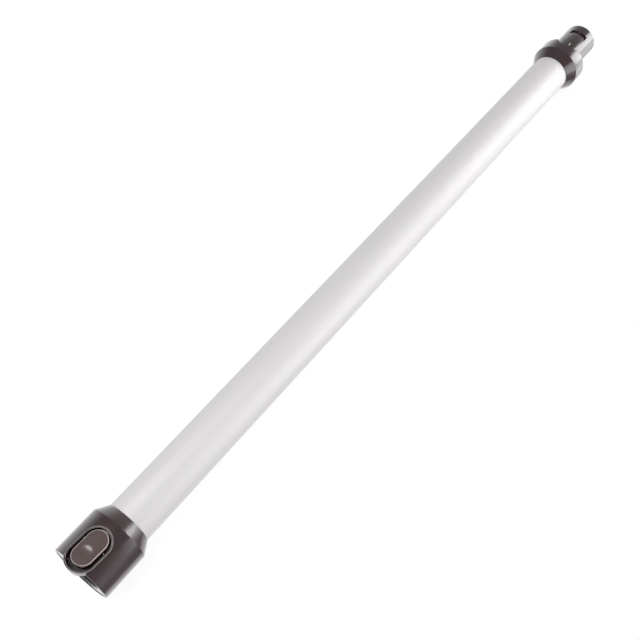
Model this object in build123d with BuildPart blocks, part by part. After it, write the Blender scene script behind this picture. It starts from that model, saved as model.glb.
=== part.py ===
from build123d import *
from math import radians, sqrt, tan
import os

# Vacuum extension wand with a spigot at one end and a latching socket at the other.
# X runs along the wand towards the spigot, Z points up through the release button.
# The origin lies on the axis shared by spigot and socket, at the collar's seating edge.

os.makedirs("parts", exist_ok=True)

# Tube
TUBE_DIAMETER = 36.0
TUBE_WALL = 1.2
TUBE_IN_VIEW = 598.0
# Spigot and socket sit this far above the tube's axis, which leaves room for contacts below
BORE_OFFSET = 3.0
# Wall of the two sleeves inside the tube where the air bore comes nearest to it
SLEEVE_WALL = 0.9

# Spigot and the collar round its root
SPIGOT_DIAMETER = 32.0
SPIGOT_LENGTH = 36.8
COLLAR_CYLINDER = 15.2
COLLAR_WALL = 2.2
FLARE_LENGTH = 9.8
FLARE_LIP = 0.4
DIP_DEPTH = 7.4
DIP_RADIUS = 12.9
DECK_DROP = 0.8
DECK_THICKNESS = 3.0
DECK_LAND = 2.05
SLEEVE_LENGTH = 45.0
SPIGOT_EDGE = 1.0
CATCH_STEP = 26.5
CATCH_DEPTH = 1.8
CATCH_FLAT = 1.2
CATCH_RAMP = 5.3
CATCH_HALF_ANGLE = 32.0
MARK_WIDTH = 1.6
MARK_DEPTH = 0.6
MARK_START = 1.0
MARK_END = 6.0

# Cuff round the socket
CUFF_WALL = 1.6
CUFF_EDGE = 0.7
CONE_LENGTH = 9.5
CONE_LIP = 0.4
RIDGE_EDGE = 0.5
RIDGE_SETBACK = 1.5

# Button well, its bezel and the lobe that stands past the rim
WELL_DEPTH = 29.5
WELL_GAP = 1.95
LOBE_REACH = 5.0
LOBE_FLOOR = 1.0
BEZEL_WALL = 1.4
BEZEL_PROUD = 0.3
# Button and bezel rise at this angle from the cuff's surface towards the mouth
BUTTON_TILT = 6.8

# Socket liner
BORE_CLEARANCE = 0.2
LAND_LENGTH = 21.0
RELIEF = 0.4
MOUTH_CHAMFER = 0.8
LINER_WALL = 1.2
RIM_INSET = 0.5
FLANGE_THICKNESS = 2.0
PLATE_THICKNESS = 1.4
SEAL_THICKNESS = 1.2
SEAL_WIDTH = 3.4

# Release button, latch lever and pivot
BUTTON_LENGTH = 28.4
BUTTON_WIDTH = 16.1
BUTTON_END_GAP = 1.1
CAP_RISE = 2.0
CAP_WALL = 1.5
CAP_POCKET = 2.6
SKIRT_RISE = 1.6
CAP_PROUD = 0.1
CAP_EDGE = 0.7
DIMPLE_RADIUS = 4.6
DIMPLE_SAG = 0.8
DIMPLE_SETBACK = 10.2
PEG_RADIUS = 1.0
PEG_LENGTH = 0.7
PEG_ARM = 3.2
BED_WALL = 0.8
LATCH_ROOM = 4.2
PIVOT_DEPTH = 17.2
PIVOT_RISE = 1.1
PIVOT_RADIUS = 0.5
PIVOT_RUNNING = 0.06
EAR_RADIUS = 1.0
EAR_THICKNESS = 1.2
LEVER_INSET = 0.5
LEVER_REACH = 4.8
LEVER_RISE = 0.7
HOOK_INSET = 1.6
HOOK_LENGTH = 3.1
HOOK_TIP = 0.6
HOOK_BITE = 0.8
HOOK_RAMP_RISE = 2.2
CATCH_PLAY = 0.3
WINDOW_MARGIN = 0.5
HOOK_SWING = 1.1
SPRING_ARM = 7.5
SPRING_RADIUS = 2.2
SPRING_WIRE = 0.4
SPRING_TURNS = 5
SPRING_POST_RADIUS = 1.6
SPRING_POST = 0.8
SPRING_PLAY = 0.1

# Contacts and wires below the bore
CONTACT_PITCH = 6.0
PIN_RADIUS = 0.9
PIN_SETBACK = 6.0
BARREL_RADIUS = 1.3
BARREL_BORE = 0.98
BARREL_LENGTH = 17.5
TONGUE_REACH = 14.0
TONGUE_WIDTH = 14.0
TONGUE_HEIGHT = 4.3
TONGUE_EDGE = 1.2
TONGUE_CHAMFER = 0.4
FOOT_HEIGHT = 1.5
CARRIER_SETBACK = 15.3
CARRIER_WIDTH = 14.8
CARRIER_TOP = 2.6
CARRIER_BASE = 2.8
CARRIER_EDGE = 0.4
RAIL_THICKNESS = 1.2
WINDOW_GAP = 0.5
TAIL_WIDTH = 1.4
TAIL_THICKNESS = 0.6
TAIL_LENGTH = 9.0
WIRE_RADIUS = 0.8
WIRE_STAND = 1.5
CRIMP_RADIUS = 1.1
CRIMP_LENGTH = 7.0
SLOT_WIDTH = 10.0
SLOT_HEADROOM = 1.4
DUCT_WIDTH = 12.0
DUCT_WALL = 1.0
DUCT_HEADROOM = 2.7
DUCT_END_GAP = 0.5

# Snap nibs that hold the tube on its two sleeves
SNAP_RADIUS = 1.8
SNAP_SETBACK = 3.6
SNAP_FLUSH = 0.2

# Clearances between pieces
SLIDE_FIT = 0.1
SHELL_FIT = 0.2
PRESS_FIT = 0.02
WELL_FIT = 0.3
# How far a cutting tool runs past the face it opens
OVERRUN = 2.0

# Radii
tube_radius = TUBE_DIAMETER / 2
tube_bore = tube_radius - TUBE_WALL
tube_hole = tube_radius + SLIDE_FIT
sleeve_radius = tube_bore - SLIDE_FIT
air_radius = sleeve_radius - SLEEVE_WALL - BORE_OFFSET
spigot_radius = SPIGOT_DIAMETER / 2
socket_bore = spigot_radius + BORE_CLEARANCE
relief_bore = socket_bore + RELIEF
liner_radius = socket_bore + LINER_WALL

# Heights above and drops below the spigot's axis, and the two shells that go round them
bed_z = socket_bore + BED_WALL
cuff_radius = bed_z + LATCH_ROOM + BORE_OFFSET
contact_drop = liner_radius + SHELL_FIT + CARRIER_TOP
tail_drop = liner_radius + SHELL_FIT + TAIL_THICKNESS / 2
wire_drop = BORE_OFFSET + tube_bore - WIRE_STAND
slot_roof = wire_drop - SLOT_HEADROOM
duct_roof = wire_drop - DUCT_HEADROOM
tongue_zs = (-contact_drop - TONGUE_HEIGHT / 2, -contact_drop + TONGUE_HEIGHT / 2)
carrier_zs = (-contact_drop - CARRIER_BASE, -liner_radius - SHELL_FIT)
deck_radius = DECK_LAND - tongue_zs[0] - BORE_OFFSET
collar_radius = deck_radius + SHELL_FIT + COLLAR_WALL

# Stations along the wand
flare_top_x = -COLLAR_CYLINDER
flare_start_x = flare_top_x - FLARE_LENGTH
cone_end_x = flare_start_x - TUBE_IN_VIEW
ridge_x = cone_end_x - CONE_LENGTH
floor_x = ridge_x + RIDGE_SETBACK
plate_x = floor_x + PLATE_THICKNESS
rim_x = floor_x - SHELL_FIT - SEAL_THICKNESS - SPIGOT_LENGTH
deck_top_x = -DIP_DEPTH - DECK_DROP
deck_low_x = deck_top_x - DECK_THICKNESS
lower_sleeve_x = plate_x + SLEEVE_LENGTH
upper_sleeve_x = deck_low_x - SLEEVE_LENGTH
land_end_x = rim_x + RIM_INSET + LAND_LENGTH
snap_xs = [plate_x + SNAP_SETBACK, deck_low_x - SNAP_SETBACK]

# Places of the latch
pivot_x = rim_x + PIVOT_DEPTH
pivot_z = bed_z + PIVOT_RISE
hook_x = rim_x + CATCH_STEP - CATCH_PLAY
well_deep_x = rim_x + WELL_DEPTH
well_mouth_x = rim_x - LOBE_REACH + BEZEL_WALL
well_length = well_deep_x - well_mouth_x
well_mid_x = (well_deep_x + well_mouth_x) / 2
well_width = BUTTON_WIDTH + 2 * WELL_GAP
bed_width = well_width - 2 * WELL_FIT
button_deep_x = well_deep_x - BUTTON_END_GAP
button_mouth_x = button_deep_x - BUTTON_LENGTH
button_mid_x = (button_deep_x + button_mouth_x) / 2
cap_top = cuff_radius + CAP_PROUD
cap_seat_z = bed_z + CAP_RISE
lever_z = bed_z + LEVER_RISE
hook_width = BUTTON_WIDTH - 2 * HOOK_INSET
ear_inner_y = BUTTON_WIDTH / 2 + WELL_FIT
spring_x = pivot_x - SPRING_ARM
tilt_x = well_deep_x + BEZEL_WALL
lever_mouth_x = pivot_x - LEVER_REACH

# Places of the contacts
contact_ys = [-CONTACT_PITCH / 2, CONTACT_PITCH / 2]
lower_wire_x = plate_x + TAIL_LENGTH
upper_wire_x = deck_low_x - TAIL_LENGTH

TUBE_AXIS = Axis((0, 0, -BORE_OFFSET), (1, 0, 0))


def height(radius):
    """Height of a point straight above the tube's axis at this radius."""
    return radius - BORE_OFFSET


def bar(radius, start, end, centre_z=0.0, mode=Mode.ADD):
    """Round bar along X from start to end in the part being built."""
    with BuildSketch(Plane.YZ.offset(start)) as section:
        with Locations((0, centre_z)):
            Circle(radius)
    extrude(section.sketch, amount=end - start, mode=mode)


def block(xs, ys, zs, mode=Mode.ADD):
    """Square block between pairs of limits along X, Y and Z."""
    with Locations((sum(xs) / 2, sum(ys) / 2, sum(zs) / 2)):
        Box(abs(xs[1] - xs[0]), abs(ys[1] - ys[0]), abs(zs[1] - zs[0]), mode=mode)


def raised_bar(radius):
    """Keep of the part being built what lies in a round bar along the button's tilted axis."""
    slope = (-1, 0, tan(radians(BUTTON_TILT)))
    with BuildSketch(Plane((tilt_x, 0, -BORE_OFFSET), x_dir=(0, 1, 0), z_dir=slope)) as section:
        Circle(radius)
    extrude(section.sketch, amount=2 * well_length, both=True, mode=Mode.INTERSECT)


def turned(points, axis=TUBE_AXIS, mode=Mode.ADD):
    """Solid of revolution from an outline of X and Z points."""
    with BuildSketch(Plane.XZ) as outline:
        with BuildLine():
            Polyline(*points, close=True)
        make_face()
    revolve(outline.sketch, axis=axis, mode=mode)


def stadium(length, width, centre_x, low_z, high_z, stretch=None, mode=Mode.ADD):
    """Upright stadium block, long along X, between two heights, cut to a stretch of X if one is given."""
    with BuildSketch(Plane.XY.offset(low_z)) as outline:
        with Locations((centre_x, 0)):
            SlotOverall(length, width)
        if stretch:
            with Locations((stretch[0], 0)):
                Rectangle(
                    stretch[1] - stretch[0],
                    width,
                    align=(Align.MIN, Align.CENTER),
                    mode=Mode.INTERSECT,
                )
    extrude(outline.sketch, amount=high_z - low_z, mode=mode)


def shell_profile(edge_x, ridge, lip_x, radius, lip_radius, wall):
    """Section of a cylinder and cone shell that narrows onto the tube.

    It returns the outline and the place of the inner corner between the two.
    """
    rise = (radius - lip_radius) / abs(lip_x - ridge)
    side = 1 if lip_x > ridge else -1
    shift = wall * sqrt(1 + 1 / rise**2)
    corner_x = lip_x - side * (shift + (radius - wall - lip_radius) / rise)
    hole_x = lip_x - side * (shift - (lip_radius - tube_hole) / rise)
    outline = [
        (edge_x, height(radius)),
        (ridge, height(radius)),
        (lip_x, height(lip_radius)),
        (lip_x, height(tube_hole)),
        (hole_x, height(tube_hole)),
        (corner_x, height(radius - wall)),
        (edge_x, height(radius - wall)),
    ]
    return outline, corner_x


cuff_outline, cuff_corner_x = shell_profile(
    rim_x, ridge_x, cone_end_x, cuff_radius, tube_radius + CONE_LIP, CUFF_WALL
)
collar_outline, collar_corner_x = shell_profile(
    0, flare_top_x, flare_start_x, collar_radius, tube_radius + FLARE_LIP, COLLAR_WALL
)
flange_radius = cuff_radius - CUFF_WALL - SHELL_FIT
rear_flange_x = cuff_corner_x - SHELL_FIT
rear_face_x = rear_flange_x - FLANGE_THICKNESS


# Aluminium tube with a snap hole through each side near both ends
with BuildPart() as wand_tube:
    with BuildSketch(Plane.YZ.offset(plate_x)):
        with Locations((0, -BORE_OFFSET)):
            Circle(tube_radius)
            Circle(tube_bore, mode=Mode.SUBTRACT)
    extrude(amount=deck_low_x - plate_x)
    with BuildSketch(Plane.XZ):
        with Locations(*[(x, -BORE_OFFSET) for x in snap_xs]):
            Circle(SNAP_RADIUS + SLIDE_FIT)
    extrude(amount=tube_radius + OVERRUN, both=True, mode=Mode.SUBTRACT)
wand_tube.part.label = "wand_tube"
export_step(wand_tube.part, "parts/wand_tube.step")

# Channel that covers the wires along the floor of the tube
with BuildPart() as wire_duct:
    with BuildSketch(Plane.YZ.offset(lower_sleeve_x + DUCT_END_GAP)):
        with Locations((0, -BORE_OFFSET)):
            Circle(tube_bore - PRESS_FIT)
        with Locations((0, -duct_roof)):
            Rectangle(DUCT_WIDTH, tube_radius, align=(Align.CENTER, Align.MAX), mode=Mode.INTERSECT)
        with Locations((0, -duct_roof - DUCT_WALL)):
            Rectangle(
                DUCT_WIDTH - 2 * DUCT_WALL,
                tube_radius,
                align=(Align.CENTER, Align.MAX),
                mode=Mode.SUBTRACT,
            )
    extrude(amount=upper_sleeve_x - lower_sleeve_x - 2 * DUCT_END_GAP)
wire_duct.part.label = "wire_duct"
export_step(wire_duct.part, "parts/wire_duct.step")

# Two insulated wires, straight from end to end
for name, wire_y in zip(("live_wire", "return_wire"), contact_ys):
    with BuildPart() as wire:
        with BuildSketch(Plane.YZ.offset(lower_wire_x)):
            with Locations((wire_y, -wire_drop)):
                Circle(WIRE_RADIUS)
        extrude(amount=upper_wire_x - lower_wire_x)
    wire.part.label = name
    export_step(wire.part, f"parts/{name}.step")

# Crimp sleeves that join each wire to its two terminals
with BuildPart() as wire_crimps:
    for crimp_x in (lower_wire_x, upper_wire_x):
        with BuildSketch(Plane.YZ.offset(crimp_x - CRIMP_LENGTH / 2)):
            with Locations(*[(y, -wire_drop) for y in contact_ys]):
                Circle(CRIMP_RADIUS)
                Circle(WIRE_RADIUS + PRESS_FIT, mode=Mode.SUBTRACT)
        extrude(amount=CRIMP_LENGTH)
wire_crimps.part.label = "wire_crimps"
export_step(wire_crimps.part, "parts/wire_crimps.step")

# Ring of the button well: its wall below the cuff's skin, the bezel above it and the lobe
with BuildPart() as well_ring:
    stadium(
        well_length + 2 * BEZEL_WALL,
        well_width + 2 * BEZEL_WALL,
        well_mid_x,
        bed_z + WELL_FIT,
        2 * cuff_radius,
    )
    raised_bar(cuff_radius + BEZEL_PROUD)

# Moulded cuff: cone, cylinder, rounded rim and button well
with BuildPart() as socket_cuff:
    with BuildSketch(Plane.XZ):
        with BuildLine():
            Polyline(*cuff_outline, close=True)
        make_face()
        fillet(vertices().sort_by(Axis.X)[:2], CUFF_EDGE)
        fillet(vertices().sort_by_distance((ridge_x, height(cuff_radius)))[0], RIDGE_EDGE)
    revolve(axis=TUBE_AXIS)
    add(well_ring.part)
    stadium(well_length, well_width, well_mid_x, 0, 2 * cuff_radius, mode=Mode.SUBTRACT)
    stadium(
        well_length + BEZEL_WALL,
        well_width + BEZEL_WALL,
        well_mid_x,
        bed_z + WELL_FIT,
        bed_z + WELL_FIT + LOBE_FLOOR,
        stretch=(well_mouth_x - BEZEL_WALL, rim_x + RIM_INSET - SHELL_FIT),
    )
socket_cuff.part.label = "socket_cuff"
export_step(socket_cuff.part, "parts/socket_cuff.step")

# Socket liner: bore for the next tool's spigot, latch bed with ears, contact rails and sleeve
with BuildPart() as socket_liner:
    bar(liner_radius, rim_x + RIM_INSET, plate_x)
    bar(flange_radius, rim_x + RIM_INSET, rim_x + RIM_INSET + FLANGE_THICKNESS, -BORE_OFFSET)
    bar(flange_radius, rear_face_x, rear_flange_x, -BORE_OFFSET)
    bar(tube_radius, floor_x, plate_x, -BORE_OFFSET)
    bar(sleeve_radius, plate_x, lower_sleeve_x, -BORE_OFFSET)
    with BuildSketch(Plane.XZ):
        with Locations((snap_xs[0], -BORE_OFFSET)):
            Circle(SNAP_RADIUS)
    extrude(amount=tube_radius - SNAP_FLUSH, both=True)
    stadium(
        well_length + 2 * BEZEL_WALL + 2 * WELL_FIT,
        well_width + 2 * BEZEL_WALL + 2 * WELL_FIT,
        well_mid_x,
        bed_z,
        cuff_radius,
        mode=Mode.SUBTRACT,
    )
    stadium(
        well_length - 2 * WELL_FIT,
        bed_width,
        well_mid_x,
        air_radius,
        bed_z,
        stretch=(rim_x + RIM_INSET, well_deep_x),
    )
    for side in (-1, 1):
        ear_ys = (side * ear_inner_y, side * (ear_inner_y + EAR_THICKNESS))
        block((pivot_x - EAR_RADIUS, pivot_x + EAR_RADIUS), ear_ys, (air_radius, pivot_z))
        with BuildSketch(Plane.XZ.offset(-ear_ys[0])):
            with Locations((pivot_x, pivot_z)):
                Circle(EAR_RADIUS)
        extrude(amount=-side * EAR_THICKNESS)
        rail_ys = (side * (CARRIER_WIDTH / 2 + SLIDE_FIT), side * (CARRIER_WIDTH / 2 + RAIL_THICKNESS))
        block((rim_x + CARRIER_SETBACK, rear_face_x), rail_ys, (carrier_zs[0], -air_radius))
    with Locations((spring_x, 0, bed_z)):
        Cylinder(SPRING_POST_RADIUS, SPRING_POST, align=(Align.CENTER, Align.CENTER, Align.MIN))
    turned(
        [
            (rim_x - OVERRUN, 0),
            (rim_x - OVERRUN, socket_bore + MOUTH_CHAMFER),
            (rim_x + RIM_INSET, socket_bore + MOUTH_CHAMFER),
            (rim_x + RIM_INSET + MOUTH_CHAMFER, socket_bore),
            (land_end_x, socket_bore),
            (land_end_x, relief_bore),
            (floor_x, relief_bore),
            (floor_x, air_radius),
            (lower_sleeve_x + OVERRUN, air_radius),
            (lower_sleeve_x + OVERRUN, 0),
        ],
        axis=Axis.X,
        mode=Mode.SUBTRACT,
    )
    block(
        (hook_x - HOOK_LENGTH - WINDOW_MARGIN, hook_x + HOOK_SWING),
        (-hook_width / 2 - WINDOW_MARGIN, hook_width / 2 + WINDOW_MARGIN),
        (0, bed_z + OVERRUN),
        mode=Mode.SUBTRACT,
    )
    block(
        (rim_x, rim_x + RIM_INSET + FLANGE_THICKNESS + OVERRUN),
        (-TONGUE_WIDTH / 2 - WINDOW_GAP, TONGUE_WIDTH / 2 + WINDOW_GAP),
        (-contact_drop - TONGUE_HEIGHT / 2 - WINDOW_GAP, -liner_radius),
        mode=Mode.SUBTRACT,
    )
    block(
        (rear_face_x - OVERRUN, plate_x),
        (-SLOT_WIDTH / 2, SLOT_WIDTH / 2),
        (-cuff_radius - BORE_OFFSET, -liner_radius),
        mode=Mode.SUBTRACT,
    )
    block(
        (floor_x, lower_sleeve_x + OVERRUN),
        (-SLOT_WIDTH / 2, SLOT_WIDTH / 2),
        (-cuff_radius, -slot_roof),
        mode=Mode.SUBTRACT,
    )
    with BuildSketch(Plane.XZ):
        with Locations((pivot_x, pivot_z)):
            Circle(PIVOT_RADIUS + PRESS_FIT)
    extrude(amount=cuff_radius, both=True, mode=Mode.SUBTRACT)
socket_liner.part.label = "socket_liner"
export_step(socket_liner.part, "parts/socket_liner.step")

# Rubber ring on the socket's floor, which the spigot's end presses against
with BuildPart() as bore_seal:
    with BuildSketch(Plane.YZ.offset(floor_x - SEAL_THICKNESS)):
        Circle(relief_bore - SHELL_FIT)
        Circle(relief_bore - SHELL_FIT - SEAL_WIDTH, mode=Mode.SUBTRACT)
    extrude(amount=SEAL_THICKNESS)
bore_seal.part.label = "bore_seal"
export_step(bore_seal.part, "parts/bore_seal.step")

# Latch lever under the button's inner half: pivot boss, hook and peg holes
with BuildPart() as latch_lever:
    lever_top = cap_seat_z - PRESS_FIT
    stadium(
        BUTTON_LENGTH - 2 * LEVER_INSET,
        BUTTON_WIDTH - 2 * LEVER_INSET,
        button_mid_x,
        lever_z,
        lever_top,
    )
    with BuildSketch(Plane.XZ):
        with Locations((pivot_x, pivot_z)):
            Circle(PIVOT_RISE - SHELL_FIT)
    extrude(amount=ear_inner_y - SHELL_FIT, both=True)
    block(
        (lever_mouth_x, button_deep_x),
        (-BUTTON_WIDTH, BUTTON_WIDTH),
        (0, lever_top),
        mode=Mode.INTERSECT,
    )
    block((hook_x - HOOK_LENGTH, hook_x), (-hook_width / 2, hook_width / 2), (0, lever_top))
    hook_tip_radius = spigot_radius - HOOK_BITE
    turned(
        [
            (hook_x + OVERRUN, 0),
            (hook_x + OVERRUN, hook_tip_radius),
            (hook_x - HOOK_TIP, hook_tip_radius),
            (hook_x - HOOK_LENGTH, hook_tip_radius + HOOK_RAMP_RISE),
            (hook_x - HOOK_LENGTH, 0),
        ],
        axis=Axis.X,
        mode=Mode.SUBTRACT,
    )
    with Locations(*[(pivot_x + arm, 0, cap_seat_z) for arm in (-PEG_ARM, PEG_ARM)]):
        Cylinder(
            PEG_RADIUS + SLIDE_FIT,
            PEG_LENGTH + SLIDE_FIT,
            align=(Align.CENTER, Align.CENTER, Align.MAX),
            mode=Mode.SUBTRACT,
        )
    with BuildSketch(Plane.XZ):
        with Locations((pivot_x, pivot_z)):
            Circle(PIVOT_RADIUS + PIVOT_RUNNING)
    extrude(amount=cuff_radius, both=True, mode=Mode.SUBTRACT)
latch_lever.part.label = "latch_lever"
export_step(latch_lever.part, "parts/latch_lever.step")

# Button cap: curved like the cuff, with a thumb dimple, a hollow for the spring and two pegs into the lever
with BuildPart() as button_cap:
    stadium(BUTTON_LENGTH, BUTTON_WIDTH, button_mid_x, cap_seat_z, 2 * cuff_radius)
    raised_bar(cap_top)
    fillet(faces().sort_by(Axis.Z)[-1].edges(), CAP_EDGE)
    dish_radius = (DIMPLE_RADIUS**2 + DIMPLE_SAG**2) / (2 * DIMPLE_SAG)
    dimple_x = button_mouth_x + DIMPLE_SETBACK
    dimple_z = height(cap_top) + (tilt_x - dimple_x) * tan(radians(BUTTON_TILT)) - DIMPLE_SAG
    with Locations((dimple_x, 0, dimple_z + dish_radius)):
        Sphere(dish_radius, mode=Mode.SUBTRACT)
    stadium(
        BUTTON_LENGTH - 2 * CAP_WALL,
        BUTTON_WIDTH - 2 * CAP_WALL,
        button_mid_x,
        cap_seat_z,
        cap_seat_z + CAP_POCKET,
        stretch=(button_mouth_x, lever_mouth_x),
        mode=Mode.SUBTRACT,
    )
    block(
        (button_mouth_x, lever_mouth_x),
        (-BUTTON_WIDTH, BUTTON_WIDTH),
        (cap_seat_z, cap_seat_z + SKIRT_RISE),
        mode=Mode.SUBTRACT,
    )
    with Locations(*[(pivot_x + arm, 0, cap_seat_z) for arm in (-PEG_ARM, PEG_ARM)]):
        Cylinder(
            PEG_RADIUS,
            2 * PEG_LENGTH,
            align=(Align.CENTER, Align.CENTER, Align.CENTER),
        )
button_cap.part.label = "button_cap"
export_step(button_cap.part, "parts/button_cap.step")

# Steel pivot pin through the ears and the lever
with BuildPart() as pivot_pin:
    with BuildSketch(Plane.XZ):
        with Locations((pivot_x, pivot_z)):
            Circle(PIVOT_RADIUS)
    extrude(amount=ear_inner_y + EAR_THICKNESS, both=True)
pivot_pin.part.label = "pivot_pin"
export_step(pivot_pin.part, "parts/pivot_pin.step")

# Return spring between the latch bed and the hollow of the button
spring_height = cap_seat_z + CAP_POCKET - SPRING_PLAY - bed_z - SPRING_WIRE
with BuildPart() as return_spring:
    with BuildLine(Plane.XY.offset(bed_z + SPRING_WIRE / 2)) as coil:
        Helix(spring_height / SPRING_TURNS, spring_height, SPRING_RADIUS, center=(spring_x, 0, 0))
    with BuildSketch(Plane(origin=coil.line @ 0, z_dir=coil.line % 0)):
        Circle(SPRING_WIRE / 2)
    sweep(path=coil.line)
return_spring.part.label = "return_spring"
export_step(return_spring.part, "parts/return_spring.step")

# Insulating block that carries the socket's two contact pins
with BuildPart() as socket_contact_carrier:
    block((rim_x + CARRIER_SETBACK, rear_face_x), (-CARRIER_WIDTH / 2, CARRIER_WIDTH / 2), carrier_zs)
    chamfer(faces().sort_by(Axis.X)[0].edges(), CARRIER_EDGE)
    with BuildSketch(Plane.YZ.offset(rim_x)):
        with Locations(*[(y, -contact_drop) for y in contact_ys]):
            Circle(PIN_RADIUS + PRESS_FIT)
    extrude(amount=rear_face_x + OVERRUN - rim_x, mode=Mode.SUBTRACT)
socket_contact_carrier.part.label = "socket_contact_carrier"
export_step(socket_contact_carrier.part, "parts/socket_contact_carrier.step")

# Contact pins, each with a stamped tail that steps up to its wire
for name, pin_y in zip(("socket_pin_left", "socket_pin_right"), contact_ys):
    with BuildPart() as socket_pin:
        with BuildSketch(Plane.YZ.offset(rim_x + PIN_SETBACK)):
            with Locations((pin_y, -contact_drop)):
                Circle(PIN_RADIUS)
        extrude(amount=rear_face_x - rim_x - PIN_SETBACK)
        fillet(faces().sort_by(Axis.X)[0].edges(), PIN_RADIUS / 2)
        with BuildSketch(Plane.XZ.offset(-pin_y)):
            with BuildLine():
                Polyline(
                    (rear_face_x - TAIL_WIDTH, -contact_drop),
                    (rear_face_x + TAIL_THICKNESS, -contact_drop),
                    (floor_x - TAIL_THICKNESS, -tail_drop),
                    (floor_x, -tail_drop),
                    (plate_x, -wire_drop),
                    (lower_wire_x, -wire_drop),
                )
            trace(line_width=TAIL_THICKNESS)
        extrude(amount=TAIL_WIDTH / 2, both=True)
    socket_pin.part.label = name
    export_step(socket_pin.part, f"parts/{name}.step")

# Moulded collar: flare, cylinder and the dip that clears the next socket's lobe
with BuildPart() as collar:
    with BuildSketch(Plane.XZ):
        with BuildLine():
            Polyline(*collar_outline, close=True)
        make_face()
        fillet(vertices().sort_by(Axis.X)[-2:], CUFF_EDGE)
        fillet(vertices().sort_by_distance((flare_top_x, height(collar_radius)))[0], RIDGE_EDGE)
    revolve(axis=TUBE_AXIS)
    with BuildSketch(Plane.XY):
        with Locations((DIP_RADIUS - DIP_DEPTH, 0)):
            Circle(DIP_RADIUS)
    extrude(amount=collar_radius, mode=Mode.SUBTRACT)
collar.part.label = "collar"
export_step(collar.part, "parts/collar.step")

# Spigot: barrel with catch recess and alignment mark, deck inside the collar and sleeve
with BuildPart() as spigot:
    turned(
        [
            (deck_low_x, 0),
            (deck_low_x, spigot_radius),
            (SPIGOT_LENGTH - SPIGOT_EDGE, spigot_radius),
            (SPIGOT_LENGTH, spigot_radius - SPIGOT_EDGE / 2),
            (SPIGOT_LENGTH, 0),
        ],
        axis=Axis.X,
    )
    bar(deck_radius, deck_low_x, deck_top_x, -BORE_OFFSET)
    bar(sleeve_radius, upper_sleeve_x, deck_low_x, -BORE_OFFSET)
    with BuildSketch(Plane.XZ):
        with Locations((snap_xs[1], -BORE_OFFSET)):
            Circle(SNAP_RADIUS)
    extrude(amount=tube_radius - SNAP_FLUSH, both=True)
    bar(air_radius, upper_sleeve_x, SPIGOT_LENGTH, 0.0, Mode.SUBTRACT)
    catch_floor = spigot_radius - CATCH_DEPTH
    catch_flat_x = CATCH_STEP - CATCH_FLAT
    with BuildSketch(Plane.XZ.rotated((-CATCH_HALF_ANGLE, 0, 0))):
        with BuildLine():
            Polyline(
                (CATCH_STEP, spigot_radius + OVERRUN),
                (CATCH_STEP, catch_floor),
                (catch_flat_x, catch_floor),
                (catch_flat_x - CATCH_RAMP, spigot_radius),
                (catch_flat_x - CATCH_RAMP, spigot_radius + OVERRUN),
                close=True,
            )
        make_face()
    revolve(axis=Axis.X, revolution_arc=2 * CATCH_HALF_ANGLE, mode=Mode.SUBTRACT)
    block(
        (MARK_START, MARK_END),
        (-MARK_WIDTH / 2, MARK_WIDTH / 2),
        (spigot_radius - MARK_DEPTH, spigot_radius + OVERRUN),
        mode=Mode.SUBTRACT,
    )
    block(
        (upper_sleeve_x - OVERRUN, deck_low_x),
        (-SLOT_WIDTH / 2, SLOT_WIDTH / 2),
        (-cuff_radius, -slot_roof),
        mode=Mode.SUBTRACT,
    )
    block(
        (deck_low_x, deck_top_x),
        (-SLOT_WIDTH / 2, SLOT_WIDTH / 2),
        (tongue_zs[0], -slot_roof),
        mode=Mode.SUBTRACT,
    )
spigot.part.label = "spigot"
export_step(spigot.part, "parts/spigot.step")

# Insulating tongue beside the spigot that carries the two contact sockets
with BuildPart() as plug_contact_carrier:
    block((deck_top_x, TONGUE_REACH), (-TONGUE_WIDTH / 2, TONGUE_WIDTH / 2), tongue_zs)
    fillet(edges().filter_by(Axis.X), TONGUE_EDGE)
    chamfer(faces().sort_by(Axis.X)[-1].edges(), TONGUE_CHAMFER)
    foot_ys = (-SLOT_WIDTH / 2 + SLIDE_FIT, SLOT_WIDTH / 2 - SLIDE_FIT)
    block((deck_low_x, deck_top_x), foot_ys, (tongue_zs[0] + SLIDE_FIT, tongue_zs[0] + FOOT_HEIGHT))
    with BuildSketch(Plane.YZ.offset(TONGUE_REACH)):
        with Locations(*[(y, -contact_drop) for y in contact_ys]):
            Circle(BARREL_RADIUS + PRESS_FIT)
    extrude(amount=deck_top_x - TONGUE_REACH, mode=Mode.SUBTRACT)
plug_contact_carrier.part.label = "plug_contact_carrier"
export_step(plug_contact_carrier.part, "parts/plug_contact_carrier.step")

# Contact sockets, each a sprung barrel with a stamped tail that steps up to its wire
for name, barrel_y in zip(("plug_socket_left", "plug_socket_right"), contact_ys):
    barrel_end_x = TONGUE_REACH - WINDOW_GAP
    barrel_start_x = barrel_end_x - BARREL_LENGTH
    with BuildPart() as plug_socket:
        with BuildSketch(Plane.YZ.offset(barrel_start_x)):
            with Locations((barrel_y, -contact_drop)):
                Circle(BARREL_RADIUS)
        extrude(amount=BARREL_LENGTH)
        with BuildSketch(Plane.YZ.offset(barrel_end_x)):
            with Locations((barrel_y, -contact_drop)):
                Circle(BARREL_BORE)
        extrude(amount=OVERRUN - BARREL_LENGTH, mode=Mode.SUBTRACT)
        with BuildSketch(Plane.XZ.offset(-barrel_y)):
            with BuildLine():
                Polyline(
                    (barrel_start_x + TAIL_WIDTH, -contact_drop),
                    (deck_top_x + TAIL_WIDTH, -contact_drop),
                    (deck_low_x + TAIL_THICKNESS, -wire_drop),
                    (upper_wire_x, -wire_drop),
                )
            trace(line_width=TAIL_THICKNESS)
        extrude(amount=TAIL_WIDTH / 2, both=True)
    plug_socket.part.label = name
    export_step(plug_socket.part, f"parts/{name}.step")
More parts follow.
